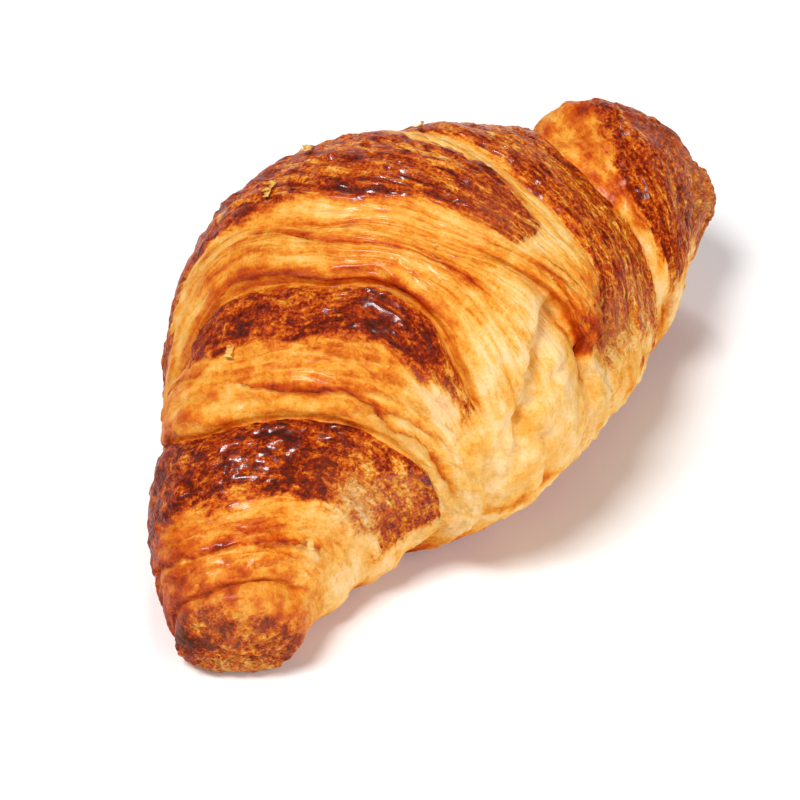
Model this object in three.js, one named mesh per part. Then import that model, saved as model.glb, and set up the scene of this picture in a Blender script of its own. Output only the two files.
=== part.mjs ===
// A croissant, baked and whole: one roll of layered dough, bent to a slight crescent.
// Millimetres, +Z up. +X runs from the near tip to the far tip, +Y is the full back of the roll,
// and the tip of the dough triangle hangs down on the -Y side. It stands on its flat bottom at Z = 0.
//
// The skin is worked out on two coordinates: the distance along the roll's spine, and the angle
// round it, in degrees from the top, positive towards +Y. Seven collars of dough follow each other
// along the spine. The middle one is the last wrap and lies over its neighbours on both sides, and
// each further collar towards a tip comes out from under the one before it.
import * as THREE from "three";

// Driving dimensions: the roll's envelope at stations along the spine
const NEAR_END = -77;
const FAR_END = 82.5;
const NEAR_NOSE = { length: 7, bluntness: 2.4 };
const FAR_NOSE = { length: 8, bluntness: 2.2 };
const STATIONS = [
  { at: -76, halfWidth: 12.5, height: 22.5, heading: 38, lift: 0.4, belly: 2.6 },
  { at: -70, halfWidth: 13.5, height: 24, heading: 36, lift: 0.3, belly: 2.5 },
  { at: -52, halfWidth: 21, height: 35.5, heading: 21, lift: 0, belly: 2.2 },
  { at: -38, halfWidth: 27.5, height: 46, heading: 8, lift: 0, belly: 2.05 },
  { at: -22, halfWidth: 40, height: 61.5, heading: -4, lift: 0, belly: 2.05 },
  { at: 2, halfWidth: 42.5, height: 65, heading: -5, lift: 0, belly: 2.1 },
  { at: 28, halfWidth: 37, height: 56, heading: -9, lift: 0, belly: 2.3 },
  { at: 46, halfWidth: 30, height: 45.5, heading: -17, lift: 1, belly: 2.5 },
  { at: 60, halfWidth: 26.5, height: 43, heading: -28, lift: 5, belly: 2.5 },
  { at: 72, halfWidth: 16, height: 26.5, heading: -39, lift: 13.5, belly: 2.3 },
  { at: 79, halfWidth: 9.2, height: 14.5, heading: -43.5, lift: 18, belly: 2.2 },
];
// The spine runs at this share of the section's height, and the back is rounder than a circle
const SPINE_HEIGHT = 0.42;
const BACK_ROUNDNESS = 2.15;
const UNDERSIDE_REACH = 0.5;

// Where each collar meets the next: spine distance at angles round the roll
const NUB_SEAM = [
  [-180, -68], [-90, -66.8], [-60, -67.5], [-30, -68.8], [0, -70.8], [30, -72], [60, -71], [180, -68],
];
const NEAR_SEAM = [
  [-180, -42], [-120, -30.5], [-90, -31], [-60, -33.8], [-30, -38.6], [0, -44], [30, -47.6],
  [60, -46], [100, -43], [180, -42],
];
const WRAP_NEAR_SEAM = [
  [-180, -30], [-120, -23], [-90, -20.7], [-60, -18.6], [-45, -17.2], [-30, -15.8], [-14, -17.8],
  [0, -24], [30, -29], [60, -35.8], [100, -38.5], [180, -30],
];
const WRAP_LEDGE = [
  [-180, 2], [-90, 4], [-68, 7.2], [-60, 8.6], [-45, 7], [-34, 3], [-19, -4], [-3, -9.5], [9, -16.5],
  [30, -21], [60, -26.5], [100, -28], [180, 2],
];
const WRAP_FAR_SEAM = [
  [-180, 22], [-120, 20], [-90, 17], [-78, 13.5], [-68, 11.5], [-58, 16.5], [-50, 21], [-40, 23.4],
  [-20, 24.4], [0, 24.8], [30, 23.5], [60, 21.5], [100, 20], [180, 22],
];
const FAR_SEAM = [
  [-180, 50], [-90, 47.5], [-50, 48.2], [-20, 46], [10, 46], [30, 48], [60, 50.5], [100, 51],
  [180, 50],
];
const TIP_SEAM = [
  [-180, 74], [-75, 72.4], [-54, 74], [-25, 74.8], [0, 76], [60, 76.4], [180, 74],
];

// How deep the seams are cut, and how the dough turns down into them
const SEAM_DEPTH = { nub: 2.4, near: 3.2, wrapNear: 3.2, wrapFar: 2.8, far: 3, tip: 2.2 };
const UNDERSIDE = { from: 95, full: 140, seamShare: 0.3 };
const CREAMY_SIDE = { from: 56, full: 72, until: 118, over: 140 };
const CREAMY_LOSS = { wrapFar: 0.6, other: 0.35 };
const DIVE_LENGTH = 3.2;
const ROOT_LENGTH = 6;
const LIP_LENGTH = 1.5;
const COLLAR_CROWN = 0.9;

// The cut edge of each collar shows the dough's layers as low ledges
const LEDGE_PITCH = 2.7;
const LEDGE_HEIGHT = 0.6;
const LEDGE_REACH = 12;
const LEDGE_WANDER = 0.3;
const LEDGE_WAVES = 3;

// The hanging tip of the triangle, as part of the last wrap
const FLAP = { from: 30, full: 51, tipFrom: 63, tip: 67.5, rise: 1.8 };
const FLAP_EDGE = { depth: 3, until: 66, over: 80 };
const WRAP_LEDGE_STEP = { depth: 0.9, backFrom: 10, backOver: 50, sideFrom: 70, sideOver: 90 };

// The creamy side under the flap: a pocket, creases, pits and soft pillows of crumb
const POCKET_EDGE = [
  [-30, -100], [-16, -76], [-12.7, -66], [-8.2, -58], [-2.5, -51], [1.5, -47], [6, -46], [14, -52],
  [26, -90],
];
const POCKET = { depth: 2.6, edge: 3, reach: 15, from: -20, full: -8, until: 14, over: 24 };
const CREASES = [
  { from: [-15, -70], to: [1, -65], depth: 1.2, width: 1.4 },
  { from: [17.5, -60], to: [14.5, -95], depth: 1.6, width: 1.6 },
  { from: [30, -64], to: [22, -96], depth: 1.3, width: 1.8 },
  { from: [6.5, -76], to: [2, -104], depth: 1.3, width: 1.5 },
  { from: [-8, -80], to: [-10, -108], depth: 1.4, width: 1.6 },
  { from: [-22, -78], to: [-21, -110], depth: 1.2, width: 1.6 },
  { from: [40, -58], to: [38, -92], depth: 1, width: 1.8 },
];
const PITS = [
  { at: [6.5, -74], depth: 1.4, width: 1.8 },
  { at: [-9, -80], depth: 1, width: 1.6 },
  { at: [-25.5, -66], depth: 0.9, width: 1.4 },
];
const PILLOWS = [
  { at: [-2, -86], height: 1.6, width: 9 },
  { at: [10, -84], height: 1.2, width: 7 },
  { at: [-15, -92], height: 1.3, width: 8 },
  { at: [26, -84], height: 1, width: 8 },
];

// How finely the skin is divided
const FINE_COLUMN = 4;
const BACK_COLUMN = 7;
const BOTTOM_COLUMN = 13.5;
const FINE_FROM = -112;
const FINE_TO = -40;
const BACK_TO = 100;
const LIP_ROW = 0.95;

// Smooth curves through a few points
function hermite(points, x) {
  const last = points.length - 2;
  let i = 0;
  while (i < last && x > points[i + 1][0]) i += 1;
  const slope = (k) => {
    const a = points[Math.max(k - 1, 0)];
    const b = points[Math.min(k + 1, points.length - 1)];
    return (b[1] - a[1]) / (b[0] - a[0]);
  };
  const [x0, y0] = points[i];
  const [x1, y1] = points[i + 1];
  const run = x1 - x0;
  const t = THREE.MathUtils.clamp((x - x0) / run, 0, 1);
  const u = 1 - t;
  const ends = (1 + 2 * t) * u * u * y0 + t * t * (3 - 2 * t) * y1;
  return ends + t * u * u * run * slope(i) - t * t * u * run * slope(i + 1);
}

const station = (key) => STATIONS.map((place) => [place.at, place[key]]);
const HALF_WIDTH = station("halfWidth");
const HEIGHT = station("height");
const HEADING = station("heading");
const LIFT = station("lift");
const BELLY = station("belly");

const smooth = THREE.MathUtils.smoothstep;
const radians = THREE.MathUtils.degToRad;

// The spine in plan, walked outwards from its middle in short steps
const SPINE_STEP = 0.5;
const SPINE_FROM = -90;
const SPINE_COUNT = 361;
function walkSpine() {
  const track = [{ x: 0, y: 0 }];
  for (let i = 1; i < SPINE_COUNT; i += 1) {
    const middle = SPINE_FROM + (i - 0.5) * SPINE_STEP;
    const turn = radians(hermite(HEADING, middle));
    const before = track[i - 1];
    track.push({
      x: before.x + SPINE_STEP * Math.cos(turn),
      y: before.y + SPINE_STEP * Math.sin(turn),
    });
  }
  return track;
}
const TRACK = walkSpine();

function spineAt(s) {
  const k = THREE.MathUtils.clamp((s - SPINE_FROM) / SPINE_STEP, 0, SPINE_COUNT - 1.001);
  const i = Math.floor(k);
  const t = k - i;
  return {
    x: THREE.MathUtils.lerp(TRACK[i].x, TRACK[i + 1].x, t),
    y: THREE.MathUtils.lerp(TRACK[i].y, TRACK[i + 1].y, t),
    turn: radians(hermite(HEADING, s)),
  };
}

// Both tips are closed by round noses
function rounded(distance, { length, bluntness }) {
  const t = 1 - THREE.MathUtils.clamp(distance / length, 0, 1);
  return (1 - t ** bluntness) ** (1 / bluntness);
}

function nose(s) {
  return rounded(s - NEAR_END, NEAR_NOSE) * rounded(FAR_END - s, FAR_NOSE);
}

// A point of the skin, standing out of the envelope by a given relief
function skinPoint(s, angle, relief) {
  const spine = spineAt(s);
  const width = hermite(HALF_WIDTH, s);
  const height = hermite(HEIGHT, s);
  const floor = Math.max(hermite(LIFT, s), 0);
  const closing = nose(s);
  const across = Math.sin(radians(angle));
  const up = Math.cos(radians(angle));
  const power = 2 / (up > 0 ? BACK_ROUNDNESS : hermite(BELLY, s));
  const reach = up > 0 ? 1 - SPINE_HEIGHT : UNDERSIDE_REACH;
  const side = (width * closing + relief) * Math.sign(across) * Math.abs(across) ** power;
  const rise = (reach * height * closing + relief) * Math.sign(up) * Math.abs(up) ** power;
  return [
    spine.x - Math.sin(spine.turn) * side,
    spine.y + Math.cos(spine.turn) * side,
    Math.max(floor + SPINE_HEIGHT * height + rise, floor),
  ];
}

// Seams are deep on the back and sides, and shallow where the roll was pressed to the tray
function seamShare(angle) {
  const under = smooth(Math.abs(angle), UNDERSIDE.from, UNDERSIDE.full);
  return 1 - (1 - UNDERSIDE.seamShare) * under;
}

// A share that grows from 0 to 1 over the first two values and falls back over the last two
function plateau(x, from, full, until, over) {
  return smooth(x, from, full) * (1 - smooth(x, until, over));
}

// The side under the flap has lost most of its seams
function creamy(angle) {
  const { from, full, until, over } = CREAMY_SIDE;
  return plateau(-angle, from, full, until, over);
}

// The last wrap's near ledge grows into the free edge of the flap
function ledgeDepth(angle) {
  const { depth, backFrom, backOver, sideFrom, sideOver } = WRAP_LEDGE_STEP;
  const grown = plateau(-angle, FLAP.from, FLAP.full, FLAP_EDGE.until, FLAP_EDGE.over);
  const onBack = 1 - smooth(angle, backFrom, backOver);
  const plain = depth * onBack * (1 - smooth(-angle, sideFrom, sideOver));
  return plain + (FLAP_EDGE.depth - plain) * grown;
}

// The climb out of a seam, and the ledges of the layers on it
function lipShape(distance, angle, phase) {
  const climb = 1 - Math.exp(-distance / LIP_LENGTH);
  const wander = LEDGE_WANDER * Math.sin(radians(LEDGE_WAVES * angle) + phase);
  const layer = distance / LEDGE_PITCH + wander;
  const within = layer - Math.floor(layer) - 0.5;
  const fade = 1 - smooth(distance, LEDGE_REACH / 2, LEDGE_REACH);
  return { climb, ledge: LEDGE_HEIGHT * within * fade * climb };
}

// Relief of one collar: it climbs out of a seam as a layered lip, or dives smoothly into one
function collarRelief(collar, s, angle, start, end) {
  const fromStart = s - start;
  const fromEnd = end - s;
  let relief = collar.crown * Math.sin((Math.PI * fromStart) / (end - start));
  for (const [kind, depth, distance, phase] of [
    [collar.startKind, collar.startDepth(angle), fromStart, collar.phase],
    [collar.endKind, collar.endDepth(angle), fromEnd, collar.phase + 2],
  ]) {
    if (kind === "lip") {
      const { climb, ledge } = lipShape(distance, angle, phase);
      relief += ledge * Math.min(1, depth) - depth * (1 - climb);
    } else if (kind === "dive") {
      relief -= depth * Math.exp(-distance / collar.diveLength);
    }
  }
  return relief;
}

const depthOf = (seam) => (angle) => {
  const lost = CREAMY_LOSS[seam] ?? CREAMY_LOSS.other;
  return SEAM_DEPTH[seam] * seamShare(angle) * (1 - lost * creamy(angle));
};
const noDepth = () => 0;

const line = (points) => (angle) => hermite(points, angle);
const COLLARS = [
  {
    from: () => NEAR_END, to: line(NUB_SEAM), rows: 9, crown: 0, phase: 0,
    diveLength: DIVE_LENGTH, startKind: "end", startDepth: noDepth,
    endKind: "dive", endDepth: depthOf("nub"),
  },
  {
    from: line(NUB_SEAM), to: line(NEAR_SEAM), rows: 16, crown: COLLAR_CROWN, phase: 1,
    diveLength: DIVE_LENGTH, startKind: "lip", startDepth: depthOf("nub"),
    endKind: "dive", endDepth: depthOf("near"),
  },
  {
    from: line(NEAR_SEAM), to: line(WRAP_NEAR_SEAM), rows: 16, crown: COLLAR_CROWN, phase: 2.4,
    diveLength: DIVE_LENGTH, startKind: "lip", startDepth: depthOf("near"),
    endKind: "dive", endDepth: depthOf("wrapNear"),
  },
  {
    from: line(WRAP_NEAR_SEAM), to: line(WRAP_LEDGE), rows: 12, crown: 0.8, phase: 4,
    diveLength: DIVE_LENGTH, startKind: "lip", startDepth: depthOf("wrapNear"),
    endKind: "dive", endDepth: ledgeDepth,
  },
  {
    from: line(WRAP_LEDGE), to: line(WRAP_FAR_SEAM), rows: 20, crown: COLLAR_CROWN, phase: 5.2,
    diveLength: DIVE_LENGTH, startKind: "lip", startDepth: ledgeDepth,
    endKind: "lip", endDepth: depthOf("wrapFar"),
  },
  {
    from: line(WRAP_FAR_SEAM), to: line(FAR_SEAM), rows: 15, crown: COLLAR_CROWN, phase: 0.7,
    diveLength: DIVE_LENGTH, startKind: "dive", startDepth: depthOf("wrapFar"),
    endKind: "lip", endDepth: depthOf("far"),
  },
  {
    from: line(FAR_SEAM), to: line(TIP_SEAM), rows: 13, crown: 0.6, phase: 3.1,
    diveLength: ROOT_LENGTH, startKind: "dive", startDepth: depthOf("far"),
    endKind: "lip", endDepth: depthOf("tip"),
  },
  {
    from: line(TIP_SEAM), to: () => FAR_END, rows: 6, crown: 0, phase: 0,
    diveLength: DIVE_LENGTH, startKind: "dive", startDepth: depthOf("tip"),
    endKind: "end", endDepth: noDepth,
  },
];
const FLAP_COLLAR = 4;

// The flap stands proud of the side and ends in a rounded tip
function flapRelief(order, angle) {
  if (order !== FLAP_COLLAR) return 0;
  return FLAP.rise * plateau(-angle, FLAP.from, FLAP.full, FLAP.tipFrom, FLAP.tip);
}

// Distances on the skin are taken as if it were unrolled at the local radius
function unrolled(s, angle, place) {
  const radius = hermite(HALF_WIDTH, s);
  return [s - place[0], radians(angle - place[1]) * radius];
}

function toSegment(s, angle, from, to) {
  const [px, py] = unrolled(s, angle, from);
  const [dx, dy] = unrolled(to[0], to[1], from);
  const t = THREE.MathUtils.clamp((px * dx + py * dy) / (dx * dx + dy * dy), 0, 1);
  return Math.hypot(px - t * dx, py - t * dy);
}

const bell = (distance, width) => Math.exp(-((distance / width) ** 2));

function sideRelief(order, s, angle) {
  let relief = 0;
  for (const { at, height, width } of PILLOWS) {
    relief += height * bell(Math.hypot(...unrolled(s, angle, at)), width);
  }
  for (const { from, to, depth, width } of CREASES) {
    relief -= depth * bell(toSegment(s, angle, from, to), width);
  }
  for (const { at, depth, width } of PITS) {
    relief -= depth * bell(Math.hypot(...unrolled(s, angle, at)), width);
  }
  if (order !== FLAP_COLLAR) {
    const below = hermite(POCKET_EDGE, s) - angle;
    const inside = plateau(s, POCKET.from, POCKET.full, POCKET.until, POCKET.over);
    relief -= POCKET.depth * inside * plateau(below, 0, POCKET.edge, POCKET.edge, POCKET.reach);
  }
  return relief;
}

// Rows crowd towards a lip and thin out where the skin is plain
function crowded(row, rows, span) {
  const even = row / rows;
  return THREE.MathUtils.lerp(Math.min((row * LIP_ROW) / span, even), even, even * even);
}

function rowShare({ startKind, endKind, rows }, row, span) {
  const turn = (row / rows) * (Math.PI / 2);
  if (startKind === "end") return 1 - Math.cos(turn);
  if (endKind === "end") return Math.sin(turn);
  if (startKind === "lip" && endKind === "dive") return crowded(row, rows, span);
  if (startKind === "dive" && endKind === "lip") return 1 - crowded(rows - row, rows, span);
  return row / rows;
}

function columnAngles() {
  const angles = [];
  for (let a = FINE_FROM; a < FINE_TO; a += FINE_COLUMN) angles.push(a);
  for (let a = FINE_TO; a < BACK_TO; a += BACK_COLUMN) angles.push(a);
  for (let a = BACK_TO; a < 360 + FINE_FROM - FINE_COLUMN; a += BOTTOM_COLUMN) {
    angles.push(a > 180 ? a - 360 : a);
  }
  return angles;
}

function buildSkin() {
  const angles = columnAngles();
  const positions = skinPoint(NEAR_END, 0, 0);
  let rows = 0;
  COLLARS.forEach((collar, order) => {
    for (let row = order === 0 ? 1 : 0; row < collar.rows; row += 1) {
      rows += 1;
      for (const angle of angles) {
        const start = collar.from(angle);
        const end = collar.to(angle);
        const s = THREE.MathUtils.lerp(start, end, rowShare(collar, row, end - start));
        const own = collarRelief(collar, s, angle, start, end);
        const relief = own + flapRelief(order, angle) + sideRelief(order, s, angle);
        positions.push(...skinPoint(s, angle, relief * nose(s)));
      }
    }
  });
  positions.push(...skinPoint(FAR_END, 0, 0));
  return { positions, rows, columns: angles.length };
}

// Quads of neighbouring rows, with a fan at each tip
function skinFaces(rows, columns) {
  const faces = [];
  const at = (row, column) => 1 + row * columns + (column % columns);
  const farPole = 1 + rows * columns;
  for (let c = 0; c < columns; c += 1) {
    faces.push(0, at(0, c), at(0, c + 1));
    faces.push(farPole, at(rows - 1, c + 1), at(rows - 1, c));
    for (let r = 0; r < rows - 1; r += 1) {
      faces.push(at(r, c), at(r + 1, c), at(r + 1, c + 1));
      faces.push(at(r, c), at(r + 1, c + 1), at(r, c + 1));
    }
  }
  return faces;
}

function croissantGeometry() {
  const { positions, rows, columns } = buildSkin();
  const geometry = new THREE.BufferGeometry();
  geometry.setAttribute("position", new THREE.Float32BufferAttribute(positions, 3));
  geometry.setIndex(skinFaces(rows, columns));
  geometry.computeBoundingBox();
  const { min, max } = geometry.boundingBox;
  geometry.translate(-(min.x + max.x) / 2, -(min.y + max.y) / 2, -min.z);
  geometry.computeVertexNormals();
  return geometry;
}

const crust = new THREE.MeshStandardMaterial({ color: 0xc9802f, roughness: 0.55, metalness: 0 });

const food = new THREE.Group();
const croissant = new THREE.Mesh(croissantGeometry(), crust);
croissant.name = "croissant";
food.add(croissant);

export default food;
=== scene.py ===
import math

import bpy
import numpy as np
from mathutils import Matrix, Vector


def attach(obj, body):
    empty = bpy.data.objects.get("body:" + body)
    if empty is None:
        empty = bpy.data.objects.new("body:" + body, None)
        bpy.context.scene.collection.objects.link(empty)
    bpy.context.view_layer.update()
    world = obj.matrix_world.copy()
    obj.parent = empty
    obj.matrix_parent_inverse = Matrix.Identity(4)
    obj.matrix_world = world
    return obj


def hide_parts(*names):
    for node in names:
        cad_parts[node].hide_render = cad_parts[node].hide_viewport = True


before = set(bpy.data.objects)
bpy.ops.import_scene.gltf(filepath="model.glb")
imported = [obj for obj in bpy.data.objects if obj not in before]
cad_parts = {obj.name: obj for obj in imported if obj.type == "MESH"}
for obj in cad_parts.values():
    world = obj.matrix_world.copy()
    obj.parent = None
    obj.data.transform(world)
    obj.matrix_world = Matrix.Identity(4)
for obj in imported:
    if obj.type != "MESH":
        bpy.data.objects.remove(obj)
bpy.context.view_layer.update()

MM = 0.001
# From the roll's own frame to the part's
FRAME_SHIFT = (-83.96, -22.68, 0)

# The roll's envelope, as on the solid: spine distance, half width, height, heading, lift, belly
STATIONS = np.array([
    (-76, 12.5, 22.5, 38, 0.4, 2.6),
    (-70, 13.5, 24, 36, 0.3, 2.5),
    (-52, 21, 35.5, 21, 0, 2.2),
    (-38, 27.5, 46, 8, 0, 2.05),
    (-22, 40, 61.5, -4, 0, 2.05),
    (2, 42.5, 65, -5, 0, 2.1),
    (28, 37, 56, -9, 0, 2.3),
    (46, 30, 45.5, -17, 1, 2.5),
    (60, 26.5, 43, -28, 5, 2.5),
    (72, 16, 26.5, -39, 13.5, 2.3),
    (79, 9.2, 14.5, -43.5, 18, 2.2),
])
NEAR_END = -77
FAR_END = 82
NEAR_NOSE = (7, 2.4)
FAR_NOSE = (8, 2.2)
SPINE_HEIGHT = 0.42
BACK_ROUNDNESS = 2.15
UNDERSIDE_REACH = 0.5

# Where each collar meets the next: angle round the roll and spine distance
NUB_SEAM = [(-180, -68), (-90, -66.8), (-60, -67.5), (-30, -68.8), (0, -70.8), (30, -72), (60, -71), (180, -68)]
NEAR_SEAM = [(-180, -42), (-120, -30.5), (-90, -31), (-60, -33.8), (-30, -38.6), (0, -44), (30, -47.6),
             (60, -46), (100, -43), (180, -42)]
WRAP_NEAR_SEAM = [(-180, -30), (-120, -23), (-90, -20.7), (-60, -18.6), (-45, -17.2), (-30, -15.8),
                  (-14, -17.8), (0, -24), (30, -29), (60, -35.8), (100, -38.5), (180, -30)]
WRAP_LEDGE = [(-180, 2), (-90, 4), (-68, 7.2), (-60, 8.6), (-45, 7), (-34, 3), (-19, -4), (-3, -9.5),
              (9, -16.5), (30, -21), (60, -26.5), (100, -28), (180, 2)]
WRAP_FAR_SEAM = [(-180, 22), (-120, 20), (-90, 17), (-78, 13.5), (-68, 11.5), (-58, 16.5), (-50, 21),
                 (-40, 23.4), (-20, 24.4), (0, 24.8), (30, 23.5), (60, 21.5), (100, 20), (180, 22)]
FAR_SEAM = [(-180, 50), (-90, 47.5), (-50, 48.2), (-20, 46), (10, 46), (30, 48), (60, 50.5), (100, 51),
            (180, 50)]
TIP_SEAM = [(-180, 74), (-75, 72.4), (-54, 74), (-25, 74.8), (0, 76), (60, 76.4), (180, 74)]

# Where the glazed skin of a collar begins, above its pale cut edge
NUB_SKIN = [(-180, -71), (0, -75), (180, -71)]
NEAR_SKIN = [(-180, -54), (-86, -47.3), (-73, -51), (-56, -52.8), (-29, -54.8), (0, -57.4), (25, -59.8),
             (100, -60), (180, -52)]
SECOND_SKIN = [(-180, -28), (-56, -22), (-48, -25), (-27, -27.2), (-7, -31.4), (16, -35.4), (39, -39.1),
               (100, -41), (180, -28)]
WRAP_SKIN = [(-180, 0), (-40, 12), (-27, 8.5), (-16, 5), (-9, 1.3), (0, -3), (14, -9.8), (25, -16),
             (35, -21.3), (48, -25.8), (62, -31), (100, -32), (180, 0)]
WRAP_SKIN_FAR = [(-180, 14), (-40, 14), (-27, 16), (-17, 17.2), (0, 17.7), (20, 15.2), (42, 14.4),
                 (100, 14), (180, 14)]
FAR_SKIN = [(-180, 60), (-54, 54.5), (-41, 52.5), (-18, 54), (0, 56.6), (30, 59.3), (100, 60), (180, 60)]

# Each collar's glazed skin: lines it lies past or short of, its gaps to the seams, its window round the roll,
# how far that window is torn, and how far it leans along the roll
SKINS = [
    dict(short_of=NUB_SKIN),
    dict(past=NEAR_SKIN, end_gap=(-0.2, 0.3), window=(-108, -84, 98, 118), tear=1.5),
    dict(past=SECOND_SKIN, end_gap=(2.0, 0.4), window=(-66, -50, 38, 46), tear=1.5),
    dict(start_gap=3, window=(54, 76, 100, 118), tear=2),
    dict(past=WRAP_SKIN, short_of=WRAP_SKIN_FAR, ragged=0.8, window=(-29, -25, 100, 118), tear=1.5),
    dict(start_gap=2.2, window=(-98, -54, 102, 120), tear=3, lean=(14, 30, 44)),
    dict(past=FAR_SKIN, window=(-98, -56, 102, 120), tear=3),
    dict(start_gap=1),
]
BORDER_REACH = 4

SEAMS = (NUB_SEAM, NEAR_SEAM, WRAP_NEAR_SEAM, WRAP_LEDGE, WRAP_FAR_SEAM, FAR_SEAM, TIP_SEAM)
LEDGE = 3
# How deep each seam is, and how much of that it loses on the creamy side; the ledge has its own rule
SEAM_DEPTH = (2.4, 3.2, 3.2, None, 2.8, 3.0, 2.2)
CREAMY_LOSS = (0.95, 0.95, 0.95, None, 0.75, 0.95, 0.95)
UNDERSIDE = (95, 140, 0.3)
CREAMY_SIDE = (56, 72, 118, 140)
CREAMY_SPOT = ((-60, -108), 4, 6)
# Past these angles the crust lies flat on the tray
FREE_UNTIL = (100, 128)
DIVE_LENGTH = 3.2
ROOT_LENGTH = 6.0
LIP_LENGTH = 0.9
# Width of the painted shade in each seam's gap
CREVICE_SHADE_WIDTH = 0.6

# The dough's layers on a cut edge: thick sheets, and thin leaves on them
SHEET_PITCH = 2.7
SHEET_HEIGHT = 1.35
LEAF_PITCH = 1.25
LEAF_HEIGHT = 0.45
LEDGE_REACH = 12
LEDGE_WANDER = 0.3
LEDGE_WAVES = 3
SHEET_STEP = 0.14
LEAF_STEP = 0.3
FAR_LEAVES = 0.4
SHEET_SEED = 60
LEAF_SEED = 90
SHEET_OVERHANG = 0.75
LIP_OVERHANG = 1.0

# Single strong ledges: collar, line as angle and distance, where it shows, height and browning
SINGLE_LEDGES = [
    (2, [(-84, -29.4), (-61, -31.4), (-48, -33.4), (-35, -34.4), (-25, -35.9), (-13, -38.9), (0, -40.4),
         (30, -43)], (-88, -76, 8, 25), 1.1, 0.46),
    (3, [(-40, -15.6), (-30, -15.1), (-14, -17.1), (0, -23.3), (30, -28.3), (60, -35), (80, -37)],
     (-34, -24, 30, 44), 0.3, 0.3),
    (3, [(-40, -5), (-29, -7.4), (-21, -9.4), (-11, -12.4), (-3, -16.1), (4, -19.3), (12, -20.1),
         (25, -24.5)], (-38, -28, 7, 17), 1.0, 0.44),
    (4, [(-28, 8.5), (-16, 5), (-8, 0.4), (0, -4), (10, -9.8), (25, -17), (45, -24.5)],
     (-30, -20, 30, 48), 0.6, 0.24),
    (4, [(-70, 11), (-59, 10.6), (-54, 9.9), (-46, 9), (-39, 8.4), (-28, 3)], (-68, -62, -40, -30), 0.7, 0.34),
    (1, [(-90, -56), (-60, -60), (-30, -63), (0, -66), (30, -67), (60, -66)], (-80, -55, 40, 70), 0.9, 0.3),
]

# The hanging tip of the dough triangle
FLAP = (30, 51, 63, 67.5)
FLAP_RISE = 1.8
FLAP_EDGE = (3.0, 66, 80)
WRAP_LEDGE_STEP = (0.9, 10, 50, 70, 90)

# The creamy side: a pocket beside the flap, then creases as two places, depth and width
POCKET_EDGE = [(-30, -100), (-16, -76), (-12.7, -66), (-8.2, -58), (-2.5, -51), (1.5, -47), (6, -46),
               (14, -52), (26, -90)]
POCKET_DEPTH = 2.6
POCKET_REACH = (3, 15)
POCKET_ALONG = (-20, -8, 14, 24)
CREASES = [
    ((-15, -70), (1, -65), 1.2, 1.4),
    ((17.5, -60), (14.5, -95), 0.9, 1.6),
    ((30, -64), (22, -96), 1.3, 1.8),
    ((6.5, -76), (2, -104), 1.3, 1.5),
    ((-8, -80), (-10, -108), 1.4, 1.6),
    ((-22, -78), (-21, -110), 1.2, 1.6),
    ((40, -58), (38, -92), 1.0, 1.8),
]

# Pillows, pits, and places where the oven made the roll fuller or slacker: place, height, width along and round
SWELLS = [((-2, -86), 1.6, 9, 9), ((10, -84), 1.2, 7, 7), ((-15, -92), 1.3, 8, 8), ((26, -84), 1.0, 8, 8),
          ((-59, -112), 1.6, 4, 4), ((6.5, -74), -1.4, 1.8, 1.8), ((-9, -80), -1.0, 1.6, 1.6),
          ((-25.5, -66), -0.9, 1.4, 1.4), ((-44, -116), 3.0, 8, 9), ((-24, -114), -1.3, 9, 6),
          ((55, -94), -2.6, 4, 8), ((77, -92), -1.6, 4, 5), ((66, 16), -0.8, 5, 8), ((53, 14), -2.2, 5, 13),
          ((5, 30), -0.9, 12, 14), ((-61, 88), -0.8, 8, 5), ((56, -102), -1.8, 5, 6), ((-54, 72), -1.7, 5, 6),
          ((-39, 78), -1.1, 4, 5), ((80, -108), -1.2, 3, 5)]

FOLD_HEIGHT = 2.2
FOLDED_SIDE = (38, 62, 122, 140)

# The far collar's root: it drops at the back, and is wrinkled
ROOT_COLLAR = 6
ROOT_DROP = 1.6
ROOT_DROP_LENGTH = 7
ROOT_DROP_FROM = (-10, 40)
WRINKLE_HEIGHT = 2.4

# Fineness of the crust's mesh
FINE_COLUMNS = 200
BOTTOM_COLUMNS = 58
FINE_FROM = -118
FINE_TO = 106


def hermite(points, x):
    """A smooth curve through a few points."""
    xs, ys = np.array(points, float).T
    slope = np.gradient(ys, xs)
    slope[1:-1] = (ys[2:] - ys[:-2]) / (xs[2:] - xs[:-2])
    i = np.clip(np.searchsorted(xs, x) - 1, 0, len(xs) - 2)
    run = xs[i + 1] - xs[i]
    t = np.clip((x - xs[i]) / run, 0, 1)
    u = 1 - t
    ends = (1 + 2 * t) * u * u * ys[i] + t * t * (3 - 2 * t) * ys[i + 1]
    return ends + t * u * u * run * slope[i] - t * t * u * run * slope[i + 1]


def station(column, s):
    return hermite(STATIONS[:, (0, column)], s)


def smooth(x, low, high):
    t = np.clip((x - low) / (high - low), 0, 1) if high != low else (x >= low) * 1.0
    return t * t * (3 - 2 * t)


def plateau(x, start, full, until, over):
    return smooth(x, start, full) * (1 - smooth(x, until, over))


def hashed(ix, iy, iz, seed):
    """A fixed random value from 0 to 1 for each whole-numbered place."""
    mixed = ix * 374761393 + iy * 668265263 + iz * 2147483647 + seed * 1274126177
    mixed = (mixed ^ (mixed >> 13)) & 0xFFFFFFFF
    mixed = (mixed * 1274126177) & 0xFFFFFFFF
    mixed = mixed ^ (mixed >> 16)
    return (mixed & 0xFFFF) / 65535.0


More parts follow.
